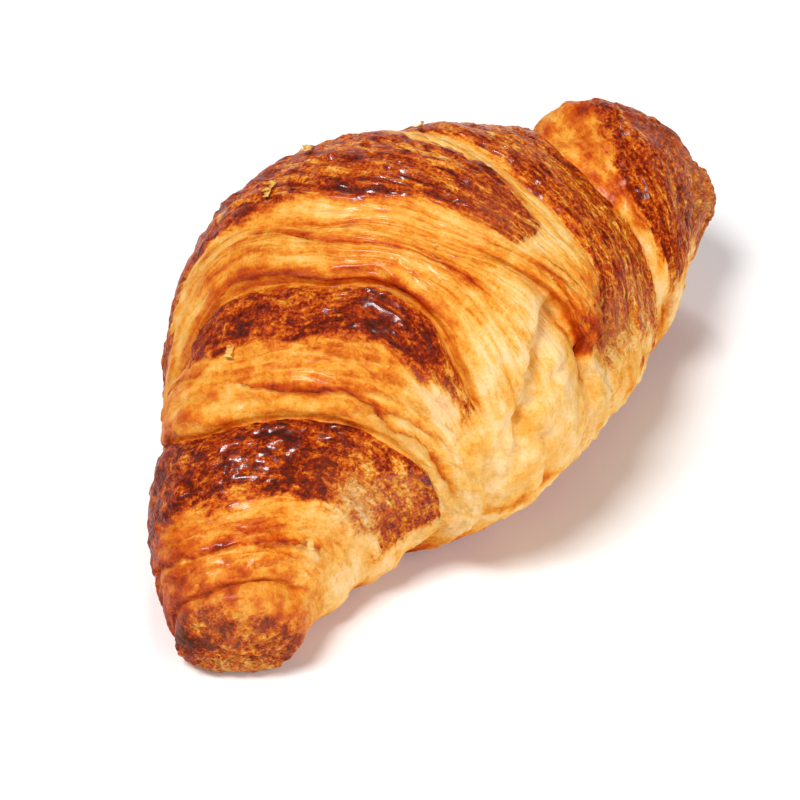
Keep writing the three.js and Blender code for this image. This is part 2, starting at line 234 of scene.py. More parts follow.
def noise(points, size, seed, octaves=3, rough=0.5):
    """Soft value noise from 0 to 1 with features about as large as size."""
    total = np.zeros(points.shape[:-1])
    weight = 1.0
    whole = 0.0
    for octave in range(octaves):
        p = points / (size / 2 ** octave) + 17.3 * (octave + 1)
        cell = np.floor(p).astype(np.int64)
        f = p - cell
        f = f * f * (3 - 2 * f)
        value = 0
        for corner in range(8):
            dx, dy, dz = corner & 1, corner >> 1 & 1, corner >> 2 & 1
            share = ((f[..., 0] if dx else 1 - f[..., 0])
                     * (f[..., 1] if dy else 1 - f[..., 1])
                     * (f[..., 2] if dz else 1 - f[..., 2]))
            value = value + share * hashed(cell[..., 0] + dx, cell[..., 1] + dy, cell[..., 2] + dz, seed + octave)
        total += weight * value
        whole += weight
        weight *= rough
    return total / whole


SPINE_GRID = np.arange(-90, 90.25, 0.5)


def walk_spine():
    middles = (SPINE_GRID[1:] + SPINE_GRID[:-1]) / 2
    turn = np.radians(station(3, middles))
    step = np.diff(SPINE_GRID)
    x = np.concatenate([[0], np.cumsum(step * np.cos(turn))])
    y = np.concatenate([[0], np.cumsum(step * np.sin(turn))])
    return x, y


SPINE_X, SPINE_Y = walk_spine()


def rounded(distance, nose):
    length, bluntness = nose
    t = 1 - np.clip(distance / length, 0, 1)
    return (1 - t ** bluntness) ** (1 / bluntness)


def closing(s):
    return rounded(s - NEAR_END, NEAR_NOSE) * rounded(FAR_END - s, FAR_NOSE)


def skin_points(s, angle, relief):
    """Points of the skin in millimetres, standing out of the envelope by the relief."""
    turn = np.radians(station(3, s))
    width = station(1, s)
    height = station(2, s)
    floor = np.maximum(station(4, s), 0)
    shut = closing(s)
    across = np.sin(np.radians(angle))
    up = np.cos(np.radians(angle))
    power = 2 / np.where(up > 0, BACK_ROUNDNESS, station(5, s))
    reach = np.where(up > 0, 1 - SPINE_HEIGHT, UNDERSIDE_REACH)
    side = (width * shut + relief) * np.sign(across) * np.abs(across) ** power
    rise = (reach * height * shut + relief) * np.sign(up) * np.abs(up) ** power
    x = np.interp(s, SPINE_GRID, SPINE_X) - np.sin(turn) * side
    y = np.interp(s, SPINE_GRID, SPINE_Y) + np.cos(turn) * side
    return np.stack([x, y, np.maximum(floor + SPINE_HEIGHT * height + rise, floor)], -1)


def creamy(angle):
    return plateau(-angle, *CREAMY_SIDE)


def ledge_depth(angle):
    depth, back_from, back_over, side_from, side_over = WRAP_LEDGE_STEP
    edge, until, over = FLAP_EDGE
    grown = plateau(-angle, FLAP[0], FLAP[1], until, over)
    on_back = 1 - smooth(angle, back_from, back_over)
    plain = depth * on_back * (1 - smooth(-angle, side_from, side_over))
    return plain + (edge - plain) * grown


def seam_depth(number, angle):
    """How deep a seam is round the roll."""
    if number == LEDGE:
        return ledge_depth(angle)
    start, full, share = UNDERSIDE
    under = 1 - (1 - share) * smooth(np.abs(angle), start, full)
    return SEAM_DEPTH[number] * under * (1 - CREAMY_LOSS[number] * creamy(angle))


# Each collar: how it meets its two seams, its crown, its layers' phase and its rows of the mesh
COLLARS = [
    dict(kinds=("end", "dive"), crown=0, phase=0, rows=26),
    dict(kinds=("lip", "dive"), crown=0.9, phase=1, rows=60),
    dict(kinds=("lip", "dive"), crown=0.9, phase=2.4, rows=56),
    dict(kinds=("lip", "dive"), crown=0.8, phase=4, rows=46),
    dict(kinds=("lip", "lip"), crown=0.9, phase=5.2, rows=72),
    dict(kinds=("dive", "lip"), crown=0.9, phase=0.7, rows=52),
    dict(kinds=("dive", "lip"), crown=0.6, phase=3.1, rows=46),
    dict(kinds=("dive", "end"), crown=0, phase=0, rows=18),
]
SECOND_COLLAR = 2
FLAP_COLLAR = 4
# Their widths on a straight roll, shortened at the tips
COLLAR_WIDTHS = (2.8, 26, 17, 22, 30, 25, 26, 2.8)

# How far each collar is baked, from 0, cream, to 1, burnt: its pale layers and its glazed skin
PALE_TONE = (0.42, 0.38, 0.34, 0.34, 0.30, 0.38, 0.50, 0.54)
SKIN_TONE = (0.63, 0.86, 0.80, 0.70, 0.69, 0.68, 0.76, 0.58)
SKIN_SPOTS = (0.12, 0.22, 0.36, 0.22, 0.32, 0.22, 0.26, 0.22)
# How tall the blisters stand, and how shiny the skin is: less so low on the sides
BLISTERS = (1.0, 1.0, 1.2, 1.0, 1.35, 1.0, 1.0, 1.0)
SHINE = (0.35, 1.0, 0.7, 1.0, 1.0, 0.7, 0.35, 0.3)
SHINE_LOSS = 0.7
SHINE_MIDDLE = -8
SHINE_FADE = (52, 84)
CREAM_TONE = 0.13
SIDE_TONE = 0.09
PALE_SIDE = (26, 56, 118, 140)
BACK_SHADE = (0.08, 0.08, 0.08, -0.16, 0.08, 0.08, 0.08, 0.08)
UNDERSIDE_TONE = 0.56
TRAY_BROWNED = (104, 132)
BROAD_SPOTS = (16, 7, 2)
SMALL_SPOTS = (5, 8, 3)
EDGE_BROWNING = 0.26
LIP_BROWNING = 0.13
# Painted shade: the seams' gaps are darkened, as where shade falls in them
CREVICE_SHADE = 0.15
BORDER_BROWNING = 0.10

# Shades that come in round a collar, as changes of its pale layers and its skin between two angles
ROUND_SHADES = [(1, 0.12, 0, -20, 40), (1, 0, -0.28, -36, -56), (2, 0, -0.15, -35, -55), (4, 0, 0.07, 0, 40),
                (5, 0, -0.34, -46, -84), (6, 0, -0.42, -56, -92)]
# Orange stripes low on the far collars: collar, seed, tone, strength and window
STRIPES = [(5, 39, 0.08, 1.1, (-112, -98, -60, -48)), (6, 41, 0.03, 0.9, (-116, -100, -64, -50))]

# The flap's own tone, where it is browned, its rim as strength and width, and its tip as strength and angles
FLAP_TONE = 0.33
FLAP_BROWNED = (30, 48, 66, 70)
FLAP_RIM = (0.5, 1.1)
FLAP_END = (0.36, 50, 64)

# The skin's borders are ragged: size and reach of the raggedness, and the border's softness
RAGGED = ((9, 4.0), (3, 2.0))
BORDER_SOFTNESS = 0.9
BORDER_SEED = 40
SKIN_THICKNESS = 0.45

# Single marks of the oven, and a painted shadow under the hanging flap's edge at (6.2, -56), as place, width along
# and round, and strength
BURNS_AND_SHADOW = [((-74.3, 84), 2.6, 4.0, 0.8), ((-72.5, 24), 2.8, 1.2, 0.24), ((-74.2, 0), 3.0, 1.1, 0.26),
         ((-75.2, -50), 2.4, 1.4, 0.26), ((-74.8, -24), 2.0, 1.0, 0.2), ((-73, 52), 2.4, 1.2, 0.24),
         ((6.2, -56), 1.8, 5, 0.3), ((-20, -99), 4, 2.2, 0.34), ((-9, -98), 6, 2.6, 0.44),
         ((1, -94), 3, 2.0, 0.22), ((46, -86), 3, 4.0, 0.30), ((33, -90), 4, 3.0, 0.2)]
PALE_SPOTS = [((10.5, -31), 3.4, 3.4, 0.22), ((-56, -95), 6, 5, 0.1), ((-62, -76), 3, 4, 0.08),
              ((-49, -60), 5, 8, 0.34), ((-7.6, -50), 4, 5, 0.14), ((-26, -52), 4, 6, 0.1)]
DULL_PATCHES = [((-49, -58), 5, 8, 0.55), ((-74, 0), 5, 24, 0.5), ((20, -66), 5, 5, 0.9),
                ((15.5, -60), 4, 5, 0.85), ((8, -20), 7, 6, 0.5), ((-25, -51), 4, 5, 0.6),
                ((79, -20), 9, 30, 0.6)]

RING_RADIUS = 12


def column_angles():
    fine = np.linspace(FINE_FROM, FINE_TO, FINE_COLUMNS, endpoint=False)
    bottom = np.linspace(FINE_TO, FINE_FROM + 360, BOTTOM_COLUMNS, endpoint=False)
    angles = np.concatenate([fine, bottom])
    return np.where(angles > 180, angles - 360, angles)


def row_shares(collar):
    """Rows crowd towards a lip, and towards the closed end of a tip."""
    rows = collar["rows"]
    even = np.arange(rows) / rows
    if collar["kinds"][0] == "end":
        return 1 - np.cos(np.arange(1, rows + 1) / (rows + 1) * math.pi / 2)
    if collar["kinds"][1] == "end":
        return np.sin(even * math.pi / 2)
    if collar["kinds"] == ("lip", "dive"):
        return 0.55 * even + 0.45 * even ** 2
    if collar["kinds"] == ("dive", "lip"):
        return 1 - 0.55 * (1 - even) - 0.45 * (1 - even) ** 2
    return even - 0.07 * np.sin(2 * math.pi * even)


def on_ring(along, angle, radius):
    turn = np.radians(angle)
    return np.stack([along, radius * np.sin(turn), radius * np.cos(turn)], -1)


def unrolled(s, angle, place):
    return s - place[0], np.radians(angle - place[1]) * station(1, s)


def mark(s, angle, place, along, around):
    dx, dy = unrolled(s, angle, place)
    return np.exp(-(dx / along) ** 2 - (dy / around) ** 2)


def to_segment(s, angle, start, end):
    px, py = unrolled(s, angle, start)
    dx, dy = unrolled(np.array(float(end[0])), end[1], start)
    t = np.clip((px * dx + py * dy) / (dx * dx + dy * dy), 0, 1)
    return np.hypot(px - t * dx, py - t * dy)


def side_relief(order, s, angle):
    """Swells of the whole roll, creases of the creamy side, and the pocket beside the flap."""
    relief = np.zeros_like(s)
    for place, height, along, around in SWELLS:
        relief += height * mark(s, angle, place, along, around)
    for start, end, depth, width in CREASES:
        relief -= depth * np.exp(-(to_segment(s, angle, start, end) / width) ** 2)
    if order != FLAP_COLLAR:
        edge, reach = POCKET_REACH
        below = hermite(POCKET_EDGE, s) - angle
        relief -= POCKET_DEPTH * plateau(s, *POCKET_ALONG) * plateau(below, 0, edge, edge, reach)
    return relief


def side_folds(s, angle):
    """Soft folds that run down the pale side, from -0.5 to 0.5."""
    long = noise(on_ring(s, angle, 8), 3.6, 21, 2) - 0.5
    short = noise(on_ring(s, angle, 18), 2.2, 23, 2) - 0.5
    return long + 0.5 * short


def ledges(distance, angle, pitch, step, phase, seed):
    """The layers' ledges round the roll: their height, their browned edge, and how far it hangs over."""
    wander = LEDGE_WANDER * np.sin(np.radians(LEDGE_WAVES * angle) + phase)
    drift = noise(on_ring(distance / 3, angle, 24), 14, seed, 2) - 0.5
    torn = noise(on_ring(distance / 2, angle, 28), 4.2, seed + 5, 3) - 0.5
    layer = distance / pitch + wander + 1.8 * drift + 0.7 * torn
    index = np.floor(layer)
    within = layer - index
    climb = -0.5 + (1 - step) * within / step
    profile = np.where(within < step, climb, 0.5 - within)
    presence = noise(on_ring(index * 37.7, angle, 24), 11, seed + 9, 2)
    shows = smooth(presence, 0.34, 0.6)
    rising = within < step
    edge = np.where(rising, smooth(within, 0, step), np.exp(-(within - step) / 0.2))
    hang = np.where(rising, within / step, np.exp(-(within - step) / 0.15))
    return profile * (0.3 + 0.7 * shows), edge * shows, hang * shows


def single_ledges(order, s, angle):
    """The same three for the few strong ledges of a collar."""
    height, browned, hang = (np.zeros_like(s) for _ in range(3))
    for collar, line, window, rise, browning in SINGLE_LEDGES:
        if collar == order:
            torn = noise(on_ring(s / 2, angle, 28), 4, 70 + len(line), 2) - 0.5
            beyond = s - hermite(line, angle) + 1.2 * torn
            shows = plateau(angle, *window)
            past = np.maximum(beyond, 0)
            height += rise * shows * smooth(beyond, -0.35, 0) * np.exp(-past / 2.4)
            browned += browning * shows * smooth(beyond, -0.3, 0.1) * np.exp(-past / 0.7)
            hang += 0.7 * rise * shows * smooth(beyond, -0.2, 0) * np.exp(-past / 0.8)
    return height, browned, hang


def ragged(s, angle, seed):
    offset = np.zeros_like(s)
    for k, (size, reach) in enumerate(RAGGED):
        offset += reach * (noise(on_ring(s / 2, angle, 26), size, seed + k, 2) - 0.5)
    return offset


def skin_border(order, s, angle, start, end):
    """How far inside the border of a collar's glazed skin, in millimetres."""
    skin = SKINS[order]
    rough = ragged(s, angle, BORDER_SEED + order)
    torn = skin.get("ragged", 1) * rough
    limits = []
    if "past" in skin:
        limits.append(s - hermite(skin["past"], angle) + torn)
    if "short_of" in skin:
        limits.append(hermite(skin["short_of"], angle) - s + torn)
    if "start_gap" in skin:
        limits.append(s - start - skin["start_gap"] + torn)
    if "end_gap" in skin:
        gap, share = skin["end_gap"]
        limits.append(end - s - gap + share * rough)
    if "window" in skin:
        turned = angle + skin["tear"] * rough
        if "lean" in skin:
            lean, since, until = skin["lean"]
            turned = turned + lean * smooth(s, since, until)
        limits.append(BORDER_REACH * (2 * plateau(turned, *skin["window"]) - 1))
    return np.clip(np.minimum.reduce(limits), -BORDER_REACH, BORDER_REACH)


def lip_layers(order, collar, side, distance, angle, depth, skin, cream):
    """The layers on a lip: their relief, their browned edges, the lip's own edge, and the overhang."""
    climb = 1 - np.exp(-distance / LIP_LENGTH)
    near = (1 - smooth(distance, LEDGE_REACH * 0.6, LEDGE_REACH * 1.4)) * climb
    strength = near * np.minimum(1, depth) * (1 - 0.7 * skin) * (1 - 0.5 * cream)
    phase = collar["phase"] + 2 * side
    seed = 4 * order + side
    sheet, sheet_edge, sheet_hang = ledges(distance, angle, SHEET_PITCH, SHEET_STEP, phase, SHEET_SEED + seed)
    leaf, leaf_edge, _ = ledges(distance, angle, LEAF_PITCH, LEAF_STEP, phase, LEAF_SEED + seed)
    if side:
        leaf = leaf * FAR_LEAVES
    relief = strength * (SHEET_HEIGHT * sheet + LEAF_HEIGHT * leaf) - depth * (1 - climb)
    edges = strength * np.maximum(sheet_edge, 0.5 * leaf_edge)
    lip_edge = np.exp(-((distance - 0.7) / 0.6) ** 2) * np.minimum(1, depth)
    rim = LIP_OVERHANG * np.exp(-((distance - 1.2) / 0.9) ** 2) * np.minimum(1, depth / 2) * (1 - cream)
    hang = strength * SHEET_OVERHANG * sheet_hang + rim * smooth(distance, 0, 0.5)
    return relief, edges, lip_edge, hang if side else -hang


def seam_relief(order, collar, s, angle, start, end, skin, cream):
    """What a collar's two seams do: relief, pull along the roll, how far layers and lips brown, and the painted
    shade in the gaps.
    """
    relief, pull, edges, lip_edge, crevice_shade = (np.zeros_like(s) for _ in range(5))
    for side, kind in enumerate(collar["kinds"]):
        if kind == "end":
            continue
        distance = (s - start, end - s)[side]
        depth = seam_depth(order - 1 + side, angle)
        # Painted shade: darker tone in the gap at each seam, fading out from it
        crevice_shade = np.maximum(crevice_shade, np.exp(-distance / CREVICE_SHADE_WIDTH) * np.minimum(1, depth / 2))
        if kind == "dive":
            relief -= depth * np.exp(-distance / (ROOT_LENGTH if order == ROOT_COLLAR else DIVE_LENGTH))
        else:
            layers, layer_edges, rim, hang = lip_layers(order, collar, side, distance, angle, depth, skin, cream)
            relief += layers
            pull += hang
            edges = np.maximum(edges, layer_edges)
            lip_edge = np.maximum(lip_edge, rim)
    return relief, pull, edges, lip_edge, crevice_shade


def root_wrinkles(s, angle):
    """Fine wrinkles round the far collar's root, from -0.5 to 0.5."""
    return noise(on_ring(s, angle, 14), 2.2, 37, 3) - 0.5


def flow_round(order, s, angle, start, end):
    """A place on a straight roll, without a jump at the seams, for patterns that follow the layers."""
    along = sum(COLLAR_WIDTHS[:order]) - COLLAR_WIDTHS[0] + (s - start) / (end - start) * COLLAR_WIDTHS[order]
    return on_ring(along, angle, RING_RADIUS * closing(s))


def collar_surface(order, collar, angles):
    """One collar's points in millimetres and what the oven did to them, row by row."""
    start = hermite(SEAMS[order - 1], angles) if order else np.full_like(angles, NEAR_END)
    end = hermite(SEAMS[order], angles) if order < len(SEAMS) else np.full_like(angles, FAR_END)
    s = start + (end - start) * row_shares(collar)[:, None]
    angle = np.broadcast_to(angles, s.shape)
    start, end = np.broadcast_to(start, s.shape), np.broadcast_to(end, s.shape)
    free = 1 - smooth(np.abs(angle), *FREE_UNTIL)
    border = skin_border(order, s, angle, start, end)
    skin = smooth(border, -BORDER_SOFTNESS, BORDER_SOFTNESS)
    cream = creamy(angle) * smooth(s, -62, -30) * (1 - 0.5 * smooth(s, 20, 50))
    cream = np.maximum(cream, mark(s, angle, *CREAMY_SPOT)) * (1 - skin)

    relief, pull, edges, lip_edge, crevice_shade = seam_relief(order, collar, s, angle, start, end, skin, cream)
    single, single_edge, single_hang = single_ledges(order, s, angle)
    pull -= single_hang
    relief += collar["crown"] * np.sin(math.pi * (s - start) / (end - start))
    relief += single + SKIN_THICKNESS * skin + side_relief(order, s, angle)
    folded = plateau(-angle, *FOLDED_SIDE) * (1 - skin) * smooth(s, -70, -50)
    if order == FLAP_COLLAR:
        relief += FLAP_RISE * plateau(-angle, *FLAP)
    if order == ROOT_COLLAR:
        folded = (1 - skin) * free
        relief -= ROOT_DROP * np.exp(-(s - start) / ROOT_DROP_LENGTH) * smooth(angle, *ROOT_DROP_FROM)
        relief += WRINKLE_HEIGHT * root_wrinkles(s, angle) * folded
    folds = side_folds(s, angle) * folded * (1 - 0.5 * cream)
    relief += FOLD_HEIGHT * folds

    pale, glazed = bake_tones(order, s, angle, end, cream, border)
    # Browned layer edges and lip rims, plus painted shade in the seams' gaps
    browned = EDGE_BROWNING * edges + LIP_BROWNING * lip_edge + CREVICE_SHADE * crevice_shade
    # Painted shade: the fold valleys are darker and their ridges lighter
    pale += browned * (1 - cream) + single_edge - 0.5 * folds
    dull = np.zeros_like(s)
    for spot, along, around, strength in DULL_PATCHES:
        dull = np.maximum(dull, strength * mark(s, angle, spot, along, around))
    shine = SHINE[order] * (1 - SHINE_LOSS * smooth(np.abs(angle - SHINE_MIDDLE), *SHINE_FADE))
    return dict(point=skin_points(s + pull * closing(s), angle, relief * closing(s)),
                pale=np.clip(pale, 0, DARKEST), glazed=np.clip(glazed, 0, DARKEST), border=border,
                skin=skin * BLISTERS[order], crumb=cream, dull=dull, shine=shine, free=free,
                flow=flow_round(order, s, angle, start, end))


def flap_tones(pale, angle, end_distance, spotty):
    """The hanging tip: darker, and darkest along its rim."""
    rim = FLAP_RIM[0] * np.exp(-end_distance / FLAP_RIM[1]) + FLAP_END[0] * smooth(-angle, *FLAP_END[1:])
    return pale + (FLAP_TONE + 0.12 * spotty + rim - pale) * plateau(-angle, *FLAP_BROWNED)


def bake_tones(order, s, angle, end, cream, border):
    """How brown the pale layers and the glazed skin are, from 0 to 1."""
    place = skin_points(s, angle, 0)
    broad = noise(place, *BROAD_SPOTS) - 0.5
    spotty = noise(place, *SMALL_SPOTS) - 0.5
    pale = PALE_TONE[order] + 0.16 * broad + 0.08 * spotty
    side = plateau(-angle, *PALE_SIDE) * smooth(s, -76, -40)
    pale = pale + (SIDE_TONE + 0.14 * spotty - pale) * 0.8 * side
    pale = pale + (CREAM_TONE + 0.28 * spotty + 0.1 * broad - pale) * cream
    pale = pale + BACK_SHADE[order] * smooth(angle, 20, 70)
    glazed = SKIN_TONE[order] + 0.14 * broad + SKIN_SPOTS[order] * spotty
    for collar, pale_change, glazed_change, since, until in ROUND_SHADES:
        if collar == order:
            share = smooth(angle, since, until)
            pale = pale + pale_change * share
            glazed = glazed + glazed_change * share
    for collar, seed, shade, strength, window in STRIPES:
        if collar == order:
            stripes = noise(on_ring(s, angle, 5), 1.7, seed, 3) - 0.5
            pale = pale + (shade + strength * stripes) * plateau(angle, *window)
    if order == 0:
        scorch = noise(on_ring(s * 0.3, angle, 13), 2.6, 31, 2)
        glazed = glazed + 0.14 * smooth(scorch, 0.5, 0.72) - 0.1 * smooth(scorch, 0.5, 0.3)
    if order == SECOND_COLLAR:
        glazed = glazed - 0.16 * (1 - smooth(end - s, 1.5, 5.0))
    if order == ROOT_COLLAR:
        pale = pale + 0.7 * root_wrinkles(s, angle)
    if order == FLAP_COLLAR:
        pale = flap_tones(pale - 0.08 * smooth(s, 10, 16), angle, end - s, spotty)
    glazed = glazed + BORDER_BROWNING * np.exp(-((border - 0.6) / 0.8) ** 2)
    marks = np.zeros_like(s)
    # Oven marks, and the painted shadow under the flap
    for spot, along, around, strength in BURNS_AND_SHADOW:
        broken = np.clip(0.8 + 1.2 * spotty, 0.2, 1.3)
        marks += strength * mark(s, angle, spot, along, around) * broken
    for spot, along, around, strength in PALE_SPOTS:
        marks -= strength * mark(s, angle, spot, along, around)
    under = smooth(np.abs(angle), *TRAY_BROWNED)
    below = UNDERSIDE_TONE + 0.12 * spotty
    return pale + (below - pale) * under + marks, glazed + (below - glazed) * under + marks


def crust_points():
    angles = column_angles()
    rows = [collar_surface(order, collar, angles) for order, collar in enumerate(COLLARS)]
    fields = {key: np.concatenate([row[key] for row in rows]) for key in rows[0]}
    poles = [skin_points(np.array([float(end)]), np.array([0.0]), 0)[0] for end in (NEAR_END, FAR_END)]
    fields["point"] = np.concatenate([poles[:1], fields["point"].reshape(-1, 3), poles[1:]])
    for key in ("pale", "glazed", "border", "skin", "crumb", "dull", "shine", "free"):
        grid = fields[key]
        fields[key] = np.concatenate([[grid[0].mean()], grid.ravel(), [grid[-1].mean()]])
    grid = fields["flow"]
    fields["flow"] = np.concatenate([[grid[0].mean(0)], grid.reshape(-1, 3), [grid[-1].mean(0)]])
    return fields, sum(collar["rows"] for collar in COLLARS), len(angles)


def crust_faces(rows, columns):
    """Quads between neighbouring rows, and a fan at each tip."""
    c = np.arange(columns)
    following = (c + 1) % columns
    first = 1 + np.arange(rows - 1)[:, None] * columns
    quads = np.stack([first + c, first + columns + c, first + columns + following, first + following], -1)
    last = 1 + (rows - 1) * columns
    near_fan = np.stack([np.zeros_like(c), 1 + c, 1 + following], -1)
    far_fan = np.stack([np.full_like(c, 1 + rows * columns), last + following, last + c], -1)
    return quads.reshape(-1, 4).tolist() + near_fan.tolist() + far_fan.tolist()


def put_attribute(mesh, name, values):
    if values.ndim == 2:
        mesh.attributes.new(name, "FLOAT_VECTOR", "POINT").data.foreach_set("vector", values.ravel())
    else:
        mesh.attributes.new(name, "FLOAT", "POINT").data.foreach_set("value", values)


def crust_mesh():
    fields, rows, columns = crust_points()
    points = fields.pop("point")
    points += FRAME_SHIFT
    mesh = bpy.data.meshes.new("crust")
    mesh.from_pydata((points * MM).tolist(), [], crust_faces(rows, columns))
    mesh.shade_smooth()
    for name, values in fields.items():
        put_attribute(mesh, name, values)
    return mesh


def feed(socket, value):
    """Links a socket to another, or sets it."""
    if isinstance(value, bpy.types.NodeSocket):
        socket.id_data.links.new(value, socket)
    else:
        socket.default_value = value


def add(tree, kind, settings=None, **inputs):
    """A node with its settings made and its inputs, by name, set or linked."""
    made = tree.nodes.new(kind)
    for name, value in (settings or {}).items():
        setattr(made, name, value)
    for name, value in inputs.items():
        feed(made.inputs[name.replace("_", " ")], value)
    return made


def maths(operation, *values):
    tree = next(value.id_data for value in values if isinstance(value, bpy.types.NodeSocket))
    made = add(tree, "ShaderNodeMath", dict(operation=operation))
    for socket, value in zip(made.inputs, values):
        feed(socket, value)
    return made.outputs[0]


def product(first, second, plus=None):
    """Two values multiplied, with a third added."""
    if plus is None:
        return maths("MULTIPLY", first, second)
    return maths("MULTIPLY_ADD", first, second, plus)


def weighed(base, *pairs):
    """A base value with others added, each times its weight."""
    for value, weight in pairs:
        base = product(value, weight, base)
    return base


def stretched(vector, factors):
    made = add(vector.id_data, "ShaderNodeVectorMath", dict(operation="MULTIPLY"))
    for socket, value in zip(made.inputs, (vector, factors)):
        feed(socket, value)
    return made.outputs[0]


def grown(vector, factor):
    made = add(vector.id_data, "ShaderNodeVectorMath", dict(operation="SCALE"), Scale=factor)
    feed(made.inputs[0], vector)
    return made.outputs[0]


def noise_node(vector, size, detail=2.0, roughness=0.5, distortion=0.0, seed=0.0):
    """Noise round 0, mostly within 0.6, with features as large as size in the vector's own units."""
    scale = maths("DIVIDE", 1.0, size) if isinstance(size, bpy.types.NodeSocket) else 1 / size
    made = add(vector.id_data, "ShaderNodeTexNoise", dict(noise_dimensions="4D"), Vector=vector, Scale=scale,
               Detail=detail, Roughness=roughness, Distortion=distortion, W=seed)
    return product(maths("SUBTRACT", made.outputs[0], 0.5), 3.0)


def tree_with(name, kind, inputs, outputs):
    """A new node group with its sockets, given as name and kind."""
    tree = bpy.data.node_groups.new(name, kind)
    for way, sockets in (("INPUT", inputs), ("OUTPUT", outputs)):
        for socket_name, socket_kind in sockets.items():
            tree.interface.new_socket(socket_name, in_out=way, socket_type="NodeSocket" + socket_kind)
    return tree, tree.nodes.new("NodeGroupInput"), tree.nodes.new("NodeGroupOutput")


def attribute(tree, name, kind="FLOAT"):
    """Reads a point value of the mesh in a geometry tree."""
    made = add(tree, "GeometryNodeInputNamedAttribute", dict(data_type=kind), Name=name)
    return made.outputs[0]


def crust_relief_tree():
    """Swells, blisters and crumb on the crust, all in millimetres."""
    sizes = dict.fromkeys(("Swell Height", "Swell Size", "Blister Height", "Blister Size", "Crumb Height",
                           "Crumb Size", "Seed"), "Float")
    tree, source, result = tree_with("crust relief", "GeometryNodeTree",
                                     dict(Geometry="Geometry", **sizes, Material="Material"),
                                     dict(Geometry="Geometry"))
    given = source.outputs
    seed = given["Seed"]
    millimetres = grown(tree.nodes.new("GeometryNodeInputPosition").outputs[0], 1 / MM)
    flow = attribute(tree, "flow", "FLOAT_VECTOR")
    swell = noise_node(millimetres, given["Swell Size"], detail=2.5, seed=seed)
    blister = noise_node(flow, given["Blister Size"], detail=2.0, distortion=0.7, seed=seed)
    crumb = noise_node(millimetres, given["Crumb Size"], detail=3.0, roughness=0.6, seed=seed)
    height = 0.0
    for name, pattern, where in (("Swell", swell, "free"), ("Blister", blister, "skin"), ("Crumb", crumb, "crumb")):
        strength = product(pattern, given[name + " Height"])
        height = product(strength, attribute(tree, where), height)
    normal = tree.nodes.new("GeometryNodeInputNormal").outputs[0]
    offset = grown(normal, product(height, MM))
    raised = add(tree, "GeometryNodeSetPosition", Geometry=given["Geometry"], Offset=offset)
    parts = add(tree, "ShaderNodeSeparateXYZ", Vector=tree.nodes.new("GeometryNodeInputPosition").outputs[0])
    above = add(tree, "ShaderNodeCombineXYZ", X=parts.outputs["X"], Y=parts.outputs["Y"],
                Z=maths("MAXIMUM", parts.outputs["Z"], 0.0))
    seated = add(tree, "GeometryNodeSetPosition", Geometry=raised.outputs[0], Position=above.outputs[0])
    whole = add(tree, "GeometryNodeRealizeInstances", Geometry=seated.outputs[0])
    finished = add(tree, "GeometryNodeSetMaterial", Geometry=whole.outputs[0], Material=given["Material"])
    feed(result.inputs[0], finished.outputs[0])
    return tree


def flakes_tree():
    """A thin curled flake on each seat, turned and sized at random."""
    sizes = dict.fromkeys(("Length", "Width", "Thickness", "Curl"), "Float")
    tree, source, result = tree_with("loose flakes", "GeometryNodeTree",
                                     dict(Geometry="Geometry", **sizes, Seed="Int", Material="Material"),
                                     dict(Geometry="Geometry"))
    given = source.outputs
    size = add(tree, "ShaderNodeCombineXYZ", X=given["Length"], Y=given["Width"], Z=given["Thickness"])
    block = add(tree, "GeometryNodeMeshCube", Size=size.outputs[0], Vertices_X=8, Vertices_Y=5, Vertices_Z=2)
    place = tree.nodes.new("GeometryNodeInputPosition").outputs[0]
    parts = add(tree, "ShaderNodeSeparateXYZ", Vector=place)
    along = maths("DIVIDE", parts.outputs["X"], given["Length"])
    bend = product(product(along, along), product(given["Curl"], 4.0))
    uneven = noise_node(place, 0.0013, detail=2.0)
    rough_edge = product(uneven, 0.0008, bend)
    lift = add(tree, "ShaderNodeCombineXYZ", X=product(uneven, 0.001),
               Y=product(noise_node(place, 0.0011, seed=4.0), 0.001), Z=rough_edge)
    flake = add(tree, "GeometryNodeSetPosition", Geometry=block.outputs[0], Offset=lift.outputs[0])
    smooth_flake = add(tree, "GeometryNodeSetShadeSmooth", Geometry=flake.outputs[0])
    seat = attribute(tree, "seat normal", "FLOAT_VECTOR")
    upright = add(tree, "FunctionNodeAlignRotationToVector", dict(axis="Z"), Vector=seat)
    spin = add(tree, "FunctionNodeRandomValue", dict(data_type="FLOAT_VECTOR"), Seed=given["Seed"])
    spin.inputs[0].default_value = (-0.25, -0.25, -math.pi)
    spin.inputs[1].default_value = (0.25, 0.25, math.pi)
    turned = add(tree, "FunctionNodeRotateRotation", dict(rotation_space="LOCAL"),
                 Rotation=upright.outputs[0], Rotate_By=spin.outputs[0])
    scaled = tree.nodes.new("FunctionNodeRandomValue")
    scaled.data_type = "FLOAT"
    scaled.inputs[2].default_value = 0.5
    scaled.inputs[3].default_value = 1.2
    feed(scaled.inputs["Seed"], given["Seed"])
    placed = add(tree, "GeometryNodeInstanceOnPoints", Points=given["Geometry"],
                 Instance=smooth_flake.outputs[0], Rotation=turned.outputs[0], Scale=scaled.outputs[1])
    whole = add(tree, "GeometryNodeRealizeInstances", Geometry=placed.outputs[0])
    finished = add(tree, "GeometryNodeSetMaterial", Geometry=whole.outputs[0], Material=given["Material"])
    feed(result.inputs[0], finished.outputs[0])
    return tree


